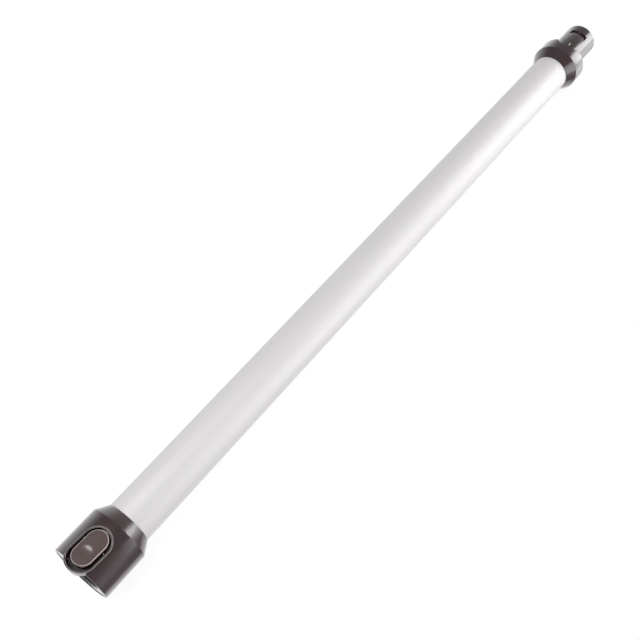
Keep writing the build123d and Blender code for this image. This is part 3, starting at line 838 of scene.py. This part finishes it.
@dataclass
class SocketEnd:
    """The latching socket: cuff with its button well, liner, seal and contact block."""

    rim: float = RIM_X
    ridge: float = -632.5 * MM
    lip: float = -623.0 * MM
    radius: float = CUFF_RADIUS
    lip_radius: float = 18.4 * MM
    hole_radius: float = 18.1 * MM
    wall: float = 1.6 * MM
    edge: float = 0.7 * MM
    ridge_edge: float = 0.5 * MM
    well_centres: Point = (-662.8 * MM, -649.7 * MM)
    well_radius: float = 10.0 * MM
    bezel_wall: float = 1.4 * MM
    bezel_proud: float = 0.3 * MM
    bezel_edge: float = 0.25 * MM
    bezel_ease: float = 0.95 * MM
    lobe_floor: float = 1.0 * MM
    bed: float = 17.0 * MM
    bed_gap: float = 0.3 * MM
    bore: float = 16.2 * MM
    relief_bore: float = 16.6 * MM
    land_end: float = -647.7 * MM
    liner_radius: float = 17.4 * MM
    flange_radius: float = 22.4 * MM
    flange: float = 2.0 * MM
    inset: float = 0.5 * MM
    chamfer: float = 0.8 * MM
    rear_face: float = -635.15 * MM
    sleeve_end: float = -584.6 * MM
    pivot: Point = (-652.0 * MM, 18.1 * MM)
    ear_radius: float = 1.0 * MM
    ear_span: Point = (8.35 * MM, 9.55 * MM)
    pin_hole: float = 0.52 * MM
    hook_window: Point = (-646.6 * MM, -641.9 * MM)
    hook_half: float = 6.95 * MM
    spring_x: float = -659.5 * MM
    tongue_half: float = 7.5 * MM
    tongue_low: float = -22.85 * MM
    slot_half: float = 5.0 * MM
    slot_roof: float = -16.9 * MM
    rail_span: Point = (7.5 * MM, 8.6 * MM)
    rail_start: float = -653.9 * MM
    rail_low: float = -23.0 * MM
    steps: int = 256

    def build(self) -> None:
        """Make the cuff, the liner and the seal, and dress the contacts."""
        self.make_cuff()
        self.make_liner()
        self.make_seal()
        for node, slot, finish in (
            ("socket_contact_carrier", Slot.MOULDING, Finishes.MOULDING),
            ("socket_pin_left", Slot.CONTACT, Finishes.BRASS),
            ("socket_pin_right", Slot.CONTACT, Finishes.BRASS),
        ):
            dress(smooth_copy(node, Body.WAND), finish, Body.WAND)

    def make_cuff(self) -> bpy.types.Object:
        """Turn the cuff's shell, open the button well and set its bezel ring in.

        Returns:
            The dressed cuff.
        """
        inner = self.radius - self.wall
        slope = (self.radius - self.lip_radius) / (self.lip - self.ridge)
        shift = self.wall * math.sqrt(1 + 1 / slope**2)
        corner = self.lip - shift - (inner - self.lip_radius) / slope
        hole = self.lip - shift + (self.lip_radius - self.hole_radius) / slope
        section = [
            (self.rim, self.radius),
            (self.ridge, self.radius),
            (self.lip, self.lip_radius),
            (self.lip, self.hole_radius),
            (hole, self.hole_radius),
            (corner, inner),
            (self.rim, inner),
        ]
        outline = rounded(
            section, {0: self.edge, 1: self.ridge_edge, 2: 0.15 * MM, 6: self.edge}, steps=6
        )
        cuff = turned("cuff", outline, -BORE_OFFSET, self.steps)
        opening = lofted(
            "opening",
            [
                stadium_ring(self.well_centres, self.well_radius + self.bezel_wall / 2, z, 128)
                for z in (0.0, 2 * self.radius)
            ],
            closed=False,
        )
        combine(cuff, opening, Cut.REMOVE)
        bezel = self.make_bezel()
        floor_z = self.bed + self.bed_gap
        lobe_floor = stadium_block(
            "lobe_floor",
            self.well_centres,
            self.well_radius + self.bezel_wall / 2,
            (floor_z, floor_z + self.lobe_floor),
            (self.rim - 20 * MM, self.rim + self.bed_gap),
        )
        smooth(cuff)
        gather(cuff, bezel, lobe_floor)
        dress(cuff, Finishes.SHELL, Body.WAND, ["socket_cuff"])
        # The bezel's edge lines get a lighter colour: a painted highlight.
        accent(cuff, Finishes.SHELL_EDGE_HIGHLIGHT, self.on_bezel_highlight_line)
        accent(cuff, Finishes.MOULDING, self.on_well_floor)
        return cuff

    def on_bezel_highlight_line(self, face: bpy.types.MeshPolygon) -> bool:
        """Tell whether a face lies on the outer or the inner edge line of the bezel, which carries a painted
        highlight.
        """
        reach = stadium_reach(face.center, self.well_centres) - self.well_radius
        if not 0 < reach < self.bezel_wall or face.center.z < self.bed + 2 * MM:
            return False
        if reach < self.bezel_ease:
            return 0.3 < face.normal.z < 0.8
        return face.normal.z > 0.15

    def on_well_floor(self, face: bpy.types.MeshPolygon) -> bool:
        """Tell whether a face is part of the floor under the button."""
        reach = stadium_reach(face.center, self.well_centres)
        return reach < self.well_radius and self.bed - MM < face.center.z < self.bed + 2 * MM

    def make_bezel(self) -> bpy.types.Object:
        """Loft the wall of the button well with its rounded bezel and lay it on the cuff.

        Returns:
            The ring, which still has to be joined to the cuff.
        """
        top = self.radius + self.bezel_proud - BORE_OFFSET
        low = self.bed + self.bed_gap
        outer = self.well_radius + self.bezel_wall
        section = [(self.well_radius, low), (outer, low), (outer, top), (self.well_radius, top)]
        outline = rounded(section, {2: self.bezel_edge, 3: self.bezel_ease}, steps=6)
        rings = [stadium_ring(self.well_centres, r, z, 160) for r, z in outline]
        bezel = lofted("bezel", rings, closed=True)
        bent_onto(bezel, self.radius + self.bezel_proud, top, low + MM)
        smooth(bezel)
        return bezel

    def make_liner(self) -> bpy.types.Object:
        """Build the liner up from its turned barrel, flanges, bed, ears and rails, then open it.

        Returns:
            The dressed liner.
        """
        front = self.rim + self.inset
        liner = turned("liner", [(front, 0.0), (front, self.liner_radius), (PLATE_X, self.liner_radius), (PLATE_X, 0.0)], 0.0)
        for name, radius, span in (
            ("front_flange", self.flange_radius, (front, front + self.flange)),
            ("rear_flange", self.flange_radius, (self.rear_face, self.rear_face + self.flange)),
            ("tube_plate", TUBE_RADIUS, (FLOOR_X, PLATE_X)),
            ("sleeve", SLEEVE_RADIUS, (PLATE_X - 0.5 * MM, self.sleeve_end)),
        ):
            combine(liner, bar(name, radius, span, -BORE_OFFSET, 192), Cut.ADD)
        clear = self.well_radius + self.bezel_wall + self.bed_gap
        pocket = lofted(
            "pocket",
            [stadium_ring(self.well_centres, clear, z, 128) for z in (self.bed, 2 * self.radius)],
            closed=False,
        )
        combine(liner, pocket, Cut.REMOVE)
        deep = self.well_centres[1] + self.well_radius
        bed_half = self.well_radius - self.bed_gap
        bed = stadium_block(
            "bed", self.well_centres, bed_half, (AIR_RADIUS, self.bed), (front, deep)
        )
        combine(liner, bed, Cut.ADD)
        for side in (-1, 1):
            combine(liner, self.make_ear(side), Cut.ADD)
            ys = sorted(side * y for y in self.rail_span)
            rail = block(
                "rail", (self.rail_start, ys[0], self.rail_low), (self.rear_face + MM, ys[1], -AIR_RADIUS)
            )
            combine(liner, rail, Cut.ADD)
        spring_post = post("spring_post", 1.6 * MM, Vector((self.spring_x, 0, self.bed)), 1.6 * MM)
        combine(liner, spring_post, Cut.ADD)
        self.open_liner(liner, front)
        smooth(liner)
        dress(liner, Finishes.LINER, Body.WAND, ["socket_liner"])
        accent(liner, Finishes.MOULDING, self.on_well_floor)
        return liner

    def make_ear(self, side: int) -> bpy.types.Object:
        """Shape one of the two ears that hold the pivot pin.

        Args:
            side: 1 or -1, the side of the lever that it stands on.

        Returns:
            The ear with its rounded top.
        """
        x, z = self.pivot
        ys = sorted(side * y for y in self.ear_span)
        ear = block("ear", (x - self.ear_radius, ys[0], AIR_RADIUS), (x + self.ear_radius, ys[1], z))
        crown = post("crown", self.ear_radius, Vector((x, sum(ys) / 2, z)), ys[1] - ys[0], across=True)
        combine(ear, crown, Cut.ADD)
        return ear

    def open_liner(self, liner: bpy.types.Object, front: float) -> None:
        """Bore the liner and cut its hook window, contact mouth, wire slots and pin holes.

        Args:
            liner: The built-up liner.
            front: X of its front face.
        """
        beyond = 4 * MM
        bore = [
            (front - beyond, 0.0),
            (front - beyond, self.bore + self.chamfer),
            (front, self.bore + self.chamfer),
            (front + self.chamfer, self.bore),
            (self.land_end, self.bore),
            (self.land_end + 0.1 * MM, self.relief_bore),
            (FLOOR_X, self.relief_bore),
            (FLOOR_X, AIR_RADIUS),
            (self.sleeve_end + beyond, AIR_RADIUS),
            (self.sleeve_end + beyond, 0.0),
        ]
        combine(liner, turned("bore", bore, 0.0), Cut.REMOVE)
        x, z = self.pivot
        low = -2 * self.radius
        for window in (
            block(
                "hook_window",
                (self.hook_window[0], -self.hook_half, 0),
                (self.hook_window[1], self.hook_half, self.bed + 2 * MM),
            ),
            block(
                "contact_mouth",
                (self.rim - MM, -self.tongue_half, self.tongue_low),
                (front + self.flange + 2 * MM, self.tongue_half, -self.liner_radius),
            ),
            block(
                "wire_slot",
                (self.rear_face - 2 * MM, -self.slot_half, low),
                (PLATE_X, self.slot_half, -self.liner_radius),
            ),
            block(
                "sleeve_slot",
                (FLOOR_X, -self.slot_half, low),
                (self.sleeve_end + beyond, self.slot_half, self.slot_roof),
            ),
            post("pin_hole", self.pin_hole, Vector((x, 0, z)), 3 * self.well_radius, across=True),
        ):
            combine(liner, window, Cut.REMOVE)

    def make_seal(self) -> bpy.types.Object:
        """Turn the rubber ring on the socket's floor.

        Returns:
            The dressed seal.
        """
        outer, inner, thick = 16.4 * MM, 13.0 * MM, 1.2 * MM
        section = [(FLOOR_X - thick, outer), (FLOOR_X, outer), (FLOOR_X, inner), (FLOOR_X - thick, inner)]
        outline = rounded(section, {0: 0.35 * MM, 3: 0.35 * MM}, steps=4)
        seal = turned("seal", outline, 0.0)
        smooth(seal)
        return dress(seal, Finishes.SEAL, Body.WAND, ["bore_seal"])


@dataclass
class ReleaseButton:
    """The rocking button: cap with its thumb dimple, lever, pivot pin and spring."""

    centres: Point = (-661.15 * MM, -648.85 * MM)
    radius: float = 8.05 * MM
    top_radius: float = 24.3 * MM
    seat: float = 19.0 * MM
    edge: float = 0.7 * MM
    dimple: Point = (-659.0 * MM, 0.0)
    dimple_radius: float = 4.6 * MM
    dimple_sag: float = 0.8 * MM
    wall: float = 1.5 * MM
    pocket: float = 2.6 * MM
    skirt_rise: float = 1.6 * MM
    lever_mouth: float = -656.8 * MM
    peg_radius: float = 1.0 * MM
    peg_places: Point = (-655.2 * MM, -648.8 * MM)
    peg_length: float = 0.7 * MM
    pivot: Point = (-652.0 * MM, 18.1 * MM)
    pin_radius: float = 0.5 * MM
    pin_half: float = 9.55 * MM
    spring_foot: tuple[float, float, float] = (-659.5 * MM, 0.0, 17.0 * MM)
    spring_keep: float = 0.72
    steps: int = 160

    def build(self) -> None:
        """Make the cap and the pin, and dress the lever and the spring."""
        self.make_cap()
        self.make_pin()
        dress(smooth_copy("latch_lever", Body.BUTTON), Finishes.MOULDING, Body.BUTTON)
        spring = dress(smooth_copy("return_spring", Body.WAND), Finishes.STEEL, Body.WAND)
        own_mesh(spring)

    def dish_depth(self, distance: float) -> float:
        """Depth of the thumb dimple at a distance from its middle.

        Args:
            distance: Distance from the middle in plan.

        Returns:
            Depth below the cap's face, rounded over the dimple's lip.
        """
        ball = (self.dimple_radius**2 + self.dimple_sag**2) / (2 * self.dimple_sag)
        if distance >= self.dimple_radius:
            return 0.0
        return math.sqrt(ball**2 - distance**2) - (ball - self.dimple_sag)

    def make_cap(self) -> bpy.types.Object:
        """Loft the cap from its foot over the rounded edge into the dimple, then bend it.

        Returns:
            The dressed cap.
        """
        top = self.top_radius - BORE_OFFSET
        rings = [
            stadium_ring(self.centres, self.radius, self.seat, self.steps),
            stadium_ring(self.centres, self.radius, top - self.edge, self.steps),
        ]
        for step in range(1, 7):
            angle = math.pi / 2 * step / 6
            rings.append(
                stadium_ring(
                    self.centres,
                    self.radius - self.edge * (1 - math.cos(angle)),
                    top - self.edge * (1 - math.sin(angle)),
                    self.steps,
                )
            )
        brink = rings[-1]
        middle = Vector((self.dimple[0], self.dimple[1], top))
        circle = [
            middle + Vector((math.cos(a), math.sin(a), 0)) * self.dimple_radius
            for a in (2 * math.pi * (i + 0.5) / self.steps for i in range(self.steps))
        ]
        for step in range(1, 9):
            rings.append([a.lerp(b, step / 8) for a, b in zip(brink, circle)])
        for share in (0.985, 0.95, 0.9, 0.8, 0.7, 0.6, 0.5, 0.4, 0.3, 0.2, 0.1, 0.03):
            ring = [middle.lerp(b, share) for b in circle]
            drop = Vector((0, 0, self.dish_depth(self.dimple_radius * share)))
            rings.append([place - drop for place in ring])
        cap = lofted("button_face", rings, closed=False)
        bent_onto(cap, self.top_radius, top, self.seat)
        self.hollow(cap)
        smooth(cap)
        pegs = [
            post("peg", self.peg_radius, Vector((x, 0, self.seat)), 2 * self.peg_length)
            for x in self.peg_places
        ]
        gather(cap, *pegs)
        dress(cap, Finishes.BUTTON, Body.BUTTON, ["button_cap"])
        # The cap's rounded edge gets a lighter colour: a painted highlight.
        accent(cap, Finishes.BUTTON_EDGE_HIGHLIGHT, self.on_edge_highlight)
        return cap

    def on_edge_highlight(self, face: bpy.types.MeshPolygon) -> bool:
        """Tell whether a face lies on the cap's rounded edge, which carries a painted highlight."""
        reach = stadium_reach(face.center, self.centres)
        return reach > self.radius - self.edge and 0.45 < face.normal.z < 0.97

    def hollow(self, cap: bpy.types.Object) -> None:
        """Cut the hollow for the spring and raise the skirt of the thumb end.

        Args:
            cap: The lofted cap.
        """
        mouth = self.centres[0] - self.radius - MM
        pocket = stadium_block(
            "pocket",
            self.centres,
            self.radius - self.wall,
            (self.seat - MM, self.seat + self.pocket),
            (mouth, self.lever_mouth),
        )
        combine(cap, pocket, Cut.REMOVE)
        skirt = block(
            "skirt",
            (mouth, -2 * self.radius, self.seat - MM),
            (self.lever_mouth, 2 * self.radius, self.seat + self.skirt_rise),
        )
        combine(cap, skirt, Cut.REMOVE)

    def make_pin(self) -> bpy.types.Object:
        """Shape the pivot pin with chamfered ends.

        Returns:
            The dressed pin.
        """
        pin = post("pivot", self.pin_radius, Vector((self.pivot[0], 0, self.pivot[1])), 2 * self.pin_half, across=True)
        apply_modifier(pin, "BEVEL", width=0.2 * MM, segments=2, limit_method="ANGLE")
        smooth(pin)
        return dress(pin, Finishes.STEEL, Body.WAND, ["pivot_pin"])


@dataclass
class SpigotEnd:
    """The collar and the spigot with its catch, and the contact tongue below it."""

    collar_radius: float = 23.8 * MM
    collar_wall: float = 2.2 * MM
    flare_top: float = -15.2 * MM
    flare_start: float = -25.0 * MM
    lip_radius: float = 18.4 * MM
    hole_radius: float = 18.1 * MM
    edge: float = 0.7 * MM
    ridge_edge: float = 0.5 * MM
    dip_radius: float = 12.9 * MM
    dip_centre: float = 5.5 * MM
    length: float = 36.8 * MM
    radius: float = SPIGOT_RADIUS
    tip_chamfer: Point = (1.0 * MM, 0.5 * MM)
    deck_radius: float = 21.4 * MM
    sleeve_start: float = -56.2 * MM
    catch_step: float = 26.5 * MM
    catch_depth: float = 1.8 * MM
    catch_flat: float = 0.6 * MM
    catch_ramp: float = 5.9 * MM
    catch_half_angle: float = math.radians(32.0)
    leg_angle: float = math.radians(4.0)
    leg_length: float = 6.0 * MM
    mark_span: Point = (1.0 * MM, 6.0 * MM)
    mark_half: float = 0.8 * MM
    mark_depth: float = 0.6 * MM
    # Depth of the mark's shallow half, whose floor holds a painted highlight.
    highlight_depth: float = 0.2 * MM
    slot_half: float = 5.0 * MM
    slot_roof: float = -16.9 * MM
    tongue_low: float = -22.35 * MM
    steps: int = 256

    def build(self) -> None:
        """Make the collar and the spigot, and dress the contact tongue."""
        self.make_collar()
        self.make_spigot()
        for node, slot, finish in (
            ("plug_contact_carrier", Slot.MOULDING, Finishes.MOULDING),
            ("plug_socket_left", Slot.CONTACT, Finishes.BRASS),
            ("plug_socket_right", Slot.CONTACT, Finishes.BRASS),
        ):
            dress(smooth_copy(node, Body.WAND), finish, Body.WAND)

    def make_collar(self) -> bpy.types.Object:
        """Turn the collar and cut the dip into its edge.

        Returns:
            The dressed collar.
        """
        inner = self.collar_radius - self.collar_wall
        slope = (self.collar_radius - self.lip_radius) / (self.flare_top - self.flare_start)
        shift = self.collar_wall * math.sqrt(1 + 1 / slope**2)
        corner = self.flare_start + shift + (inner - self.lip_radius) / slope
        hole = self.flare_start + shift - (self.lip_radius - self.hole_radius) / slope
        section = [
            (SEAT_X, self.collar_radius),
            (self.flare_top, self.collar_radius),
            (self.flare_start, self.lip_radius),
            (self.flare_start, self.hole_radius),
            (hole, self.hole_radius),
            (corner, inner),
            (SEAT_X, inner),
        ]
        outline = rounded(
            section, {0: self.edge, 1: self.ridge_edge, 2: 0.15 * MM, 6: self.edge}, steps=6
        )
        collar = turned("collar_shell", outline, -BORE_OFFSET, self.steps)
        dip = post("dip", self.dip_radius, Vector((self.dip_centre, 0, self.collar_radius)), 2 * self.collar_radius, steps=192)
        combine(collar, dip, Cut.REMOVE)
        smooth(collar)
        return dress(collar, Finishes.SHELL, Body.WAND, ["collar"])

    def make_spigot(self) -> bpy.types.Object:
        """Turn the spigot on its deck and sleeve, bore it and cut its catch, mark and slots.

        Returns:
            The dressed spigot.
        """
        tip_length, tip_drop = self.tip_chamfer
        section = [
            (DECK_LOW_X, 0.0),
            (DECK_LOW_X, self.radius),
            (self.length - tip_length, self.radius),
            (self.length, self.radius - tip_drop),
            (self.length, 0.0),
        ]
        spigot = turned("plug", rounded(section, {2: 0.6 * MM, 3: 0.3 * MM}, steps=4), 0.0, self.steps)
        for name, radius, span in (
            ("deck", self.deck_radius, (DECK_LOW_X, DECK_TOP_X)),
            ("sleeve", SLEEVE_RADIUS, (self.sleeve_start, DECK_LOW_X + 0.5 * MM)),
        ):
            combine(spigot, bar(name, radius, span, -BORE_OFFSET, 192), Cut.ADD)
        beyond = 4 * MM
        bore = [
            (self.sleeve_start - beyond, 0.0),
            (self.sleeve_start - beyond, AIR_RADIUS),
            (self.length - 0.6 * MM, AIR_RADIUS),
            (self.length, AIR_RADIUS + 0.6 * MM),
            (self.length + beyond, AIR_RADIUS + 0.6 * MM),
            (self.length + beyond, 0.0),
        ]
        combine(spigot, turned("air_bore", bore, 0.0), Cut.REMOVE)
        for cutter in self.make_catch_cutters():
            combine(spigot, cutter, Cut.REMOVE)
        low = -2 * self.deck_radius
        for tool in (
            block(
                "mark",
                (self.mark_span[0], 0, self.radius - self.mark_depth),
                (self.mark_span[1], self.mark_half, self.radius + MM),
            ),
            # The shallow half of the mark, whose floor holds a painted highlight.
            block(
                "painted_mark",
                (self.mark_span[0] + 0.4 * MM, -self.mark_half, self.radius - self.highlight_depth),
                (self.mark_span[1] - 0.4 * MM, 0, self.radius + MM),
            ),
            block(
                "sleeve_slot",
                (self.sleeve_start - beyond, -self.slot_half, low),
                (DECK_LOW_X, self.slot_half, self.slot_roof),
            ),
            block(
                "deck_slot",
                (DECK_LOW_X - MM, -self.slot_half, self.tongue_low),
                (DECK_TOP_X + MM, self.slot_half, self.slot_roof),
            ),
        ):
            combine(spigot, tool, Cut.REMOVE)
        smooth(spigot)
        dress(spigot, Finishes.SPIGOT, Body.WAND, ["spigot"])
        # Half of the mark's floor is pale: a painted highlight.
        accent(spigot, Finishes.MARK_HIGHLIGHT, self.in_mark_highlight)
        return spigot

    def in_mark_highlight(self, face: bpy.types.MeshPolygon) -> bool:
        """Tell whether a face is the floor of the mark's shallow half, which holds a pale painted highlight."""
        low, high = self.mark_span
        on_floor = abs(face.center.z - self.radius + self.highlight_depth) < 0.01 * MM
        return on_floor and low < face.center.x < high and abs(face.center.y) < self.mark_half

    def make_catch_cutters(self) -> list[bpy.types.Object]:
        """Shape the cutters of the catch: its ramped recess and the legs at both ends of it.

        Returns:
            The closed cutters.
        """
        floor = self.radius - self.catch_depth
        flat = self.catch_step - self.catch_flat
        above = self.radius + 2 * MM
        ramp = [
            (self.catch_step, above),
            (self.catch_step, floor),
            (flat, floor),
            (flat - self.catch_ramp, self.radius),
            (flat - self.catch_ramp, above),
        ]
        leg_end = self.catch_step - self.leg_length
        leg = [(self.catch_step, above), (self.catch_step, floor), (leg_end, floor), (leg_end, above)]
        end, turn = self.catch_half_angle, self.catch_half_angle - self.leg_angle
        return [
            self.swept("catch", ramp, (-end, end), 48),
            self.swept("left_leg", leg, (-end, -turn), 4),
            self.swept("right_leg", leg, (turn, end), 4),
        ]

    @staticmethod
    def swept(name: str, section: Sequence[Point], span: Point, steps: int) -> bpy.types.Object:
        """Sweep a section of X and radius over an arc about the spigot's axis.

        Args:
            name: Name of the piece.
            section: X and radius of each corner.
            span: First and last angle from the top, towards the left side.
            steps: Segments of the arc.

        Returns:
            The closed piece.
        """
        rings = []
        for index in range(steps + 1):
            angle = span[0] + (span[1] - span[0]) * index / steps
            rings.append([Vector((x, r * math.sin(angle), r * math.cos(angle))) for x, r in section])
        return lofted(name, rings, closed=False)


@dataclass
class Lamp:
    """An area lamp that faces a point."""

    name: str
    place: tuple[float, float, float]
    target: tuple[float, float, float]
    size: Point
    power: float

    def build(self) -> bpy.types.Object:
        """Hang the lamp.

        Returns:
            The lamp's object.
        """
        deselect()
        aim = Vector(self.target) - Vector(self.place)
        bpy.ops.object.light_add(
            type="AREA", location=self.place, rotation=aim.to_track_quat("-Z", "Y").to_euler()
        )
        lamp = bpy.context.object
        lamp.name = self.name
        lamp.data.shape = "RECTANGLE"
        lamp.data.size, lamp.data.size_y = self.size
        lamp.data.energy = self.power
        return lamp


@dataclass
class Studio:
    """White floor, white surroundings, softboxes and the camera of the photograph."""

    camera_place: tuple[float, float, float] = (-0.71601, -0.18784, 0.60590)
    camera_turn: tuple[float, float, float] = (30.605, -4.188, -52.052)
    lens: float = 48.86
    sensor: float = 36.0
    floor_size: float = 6.0
    cuff_low: Point = (-0.652, -0.0272)
    collar_low: Point = (-0.0076, -0.0268)
    floor_edge: float = -0.05
    surround: float = 0.75
    wall: float = 0.9
    ceiling: float = 0.35
    lamps: list[Lamp] = field(
        default_factory=lambda: [
            Lamp("right softbox", (0.0, -1.1, 0.35), (-0.05, 0.0, 0.0), (0.86, 0.76), 4.7),
            Lamp("far softbox", (0.97, -0.63, 0.36), (0.0, 0.0, 0.0), (0.44, 0.7), 5.1),
            Lamp("low softbox", (0.97, -0.63, -0.33), (0.0, 0.0, 0.0), (0.6, 0.72), 2.4),
            Lamp("near softbox", (-0.92, 0.4, 1.0), (-0.65, 0.0, 0.0), (0.3, 0.7), 4.6),
        ]
    )

    def build(self) -> None:
        """Set the view transform and put everything in place."""
        bpy.context.scene.view_settings.view_transform = "Standard"
        self.make_camera()
        self.make_floor()
        self.make_surround()
        for lamp in self.lamps:
            lamp.build()

    def make_camera(self) -> bpy.types.Object:
        """Place the camera at the photograph's viewing angle.

        Returns:
            The camera.
        """
        deselect()
        turn = [math.radians(angle) for angle in self.camera_turn]
        bpy.ops.object.camera_add(location=self.camera_place, rotation=turn)
        camera = bpy.context.object
        camera.data.lens = self.lens
        camera.data.sensor_width = self.sensor
        camera.data.clip_start = 0.01
        bpy.context.scene.camera = camera
        return camera

    def make_floor(self) -> bpy.types.Object:
        """Lay the floor under the cuff and the collar, which the wand rests on.

        Returns:
            The floor.
        """
        deselect()
        tilt = math.atan2(
            self.collar_low[1] - self.cuff_low[1], self.collar_low[0] - self.cuff_low[0]
        )
        bpy.ops.mesh.primitive_plane_add(
            size=self.floor_size,
            location=(self.cuff_low[0], self.floor_edge + self.floor_size / 2, self.cuff_low[1]),
            rotation=(0, -tilt, 0),
        )
        floor = bpy.context.object
        floor.name = "floor"
        floor.data.materials.append(self.floor_material())
        return floor

    def floor_material(self) -> bpy.types.Material:
        """White floor that keeps the shadow, shows white in reflections and is clear from below.

        Returns:
            The floor's material.
        """
        material = bpy.data.materials.new("white floor")
        material.use_nodes = True
        tree = material.node_tree
        tree.nodes.clear()
        output = tree.nodes.new("ShaderNodeOutputMaterial")
        matt = tree.nodes.new("ShaderNodeBsdfDiffuse")
        matt.inputs["Color"].default_value = (0.2, 0.2, 0.2, 1)
        glow = tree.nodes.new("ShaderNodeEmission")
        both = tree.nodes.new("ShaderNodeAddShader")
        side = tree.nodes.new("ShaderNodeNewGeometry")
        clear = tree.nodes.new("ShaderNodeBsdfTransparent")
        surface = tree.nodes.new("ShaderNodeMixShader")
        tree.links.new(self.seen_share(tree, 0.0), glow.inputs["Strength"])
        glow.inputs["Color"].default_value = (0.86, 0.86, 0.86, 1)
        tree.links.new(matt.outputs["BSDF"], both.inputs[0])
        tree.links.new(glow.outputs["Emission"], both.inputs[1])
        tree.links.new(side.outputs["Backfacing"], surface.inputs["Fac"])
        tree.links.new(both.outputs["Shader"], surface.inputs[1])
        tree.links.new(clear.outputs["BSDF"], surface.inputs[2])
        tree.links.new(surface.outputs["Shader"], output.inputs["Surface"])
        return material

    @staticmethod
    def seen_share(
        tree: bpy.types.NodeTree, unseen: float, mirrored: bpy.types.NodeSocket | None = None
    ) -> bpy.types.NodeSocket:
        """Strength that is 1 for the camera and differs for rays that only light things.

        Args:
            tree: Node tree to add the nodes to.
            unseen: Strength for diffuse rays.
            mirrored: Strength for glossy and transmission rays, otherwise 1.

        Returns:
            The strength.
        """
        path = tree.nodes.new("ShaderNodeLightPath")
        reflected = tree.nodes.new("ShaderNodeMath")
        reflected.operation = "MAXIMUM"
        tree.links.new(path.outputs["Is Glossy Ray"], reflected.inputs[0])
        tree.links.new(path.outputs["Is Transmission Ray"], reflected.inputs[1])
        strength = None
        for chosen, level in ((reflected.outputs["Value"], mirrored), (path.outputs["Is Camera Ray"], None)):
            mapped = tree.nodes.new("ShaderNodeMapRange")
            mapped.inputs["To Min"].default_value = unseen
            tree.links.new(chosen, mapped.inputs["Value"])
            if strength is not None:
                tree.links.new(strength, mapped.inputs["To Min"])
            if level is not None:
                tree.links.new(level, mapped.inputs["To Max"])
            strength = mapped.outputs["Result"]
        return strength

    def make_surround(self) -> None:
        """Surround the wand with white walls; reflections see them fade upwards and downwards."""
        world = bpy.data.worlds.new("white surround")
        bpy.context.scene.world = world
        world.use_nodes = True
        tree = world.node_tree
        sky = tree.nodes["Background"]
        sky.inputs["Color"].default_value = (1, 1, 1, 1)
        way = tree.nodes.new("ShaderNodeTexCoord")
        apart = tree.nodes.new("ShaderNodeSeparateXYZ")
        climb = tree.nodes.new("ShaderNodeMapRange")
        climb.inputs["From Min"].default_value = 0.0
        climb.inputs["From Max"].default_value = 0.45
        climb.inputs["To Min"].default_value = self.wall
        climb.inputs["To Max"].default_value = self.ceiling
        tree.links.new(way.outputs["Generated"], apart.inputs["Vector"])
        away = tree.nodes.new("ShaderNodeMath")
        away.operation = "ABSOLUTE"
        tree.links.new(apart.outputs["Z"], away.inputs[0])
        tree.links.new(away.outputs["Value"], climb.inputs["Value"])
        tree.links.new(
            self.seen_share(tree, self.surround, climb.outputs["Result"]), sky.inputs["Strength"]
        )


def main() -> None:
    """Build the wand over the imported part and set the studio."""
    logging.basicConfig(level=logging.INFO, format="%(name)s: %(message)s")
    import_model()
    for part in (WandTube(), SocketEnd(), ReleaseButton(), SpigotEnd(), Studio()):
        log.info("building %s", type(part).__name__)
        part.build()
    deselect()


if __name__ == "__main__":
    main()
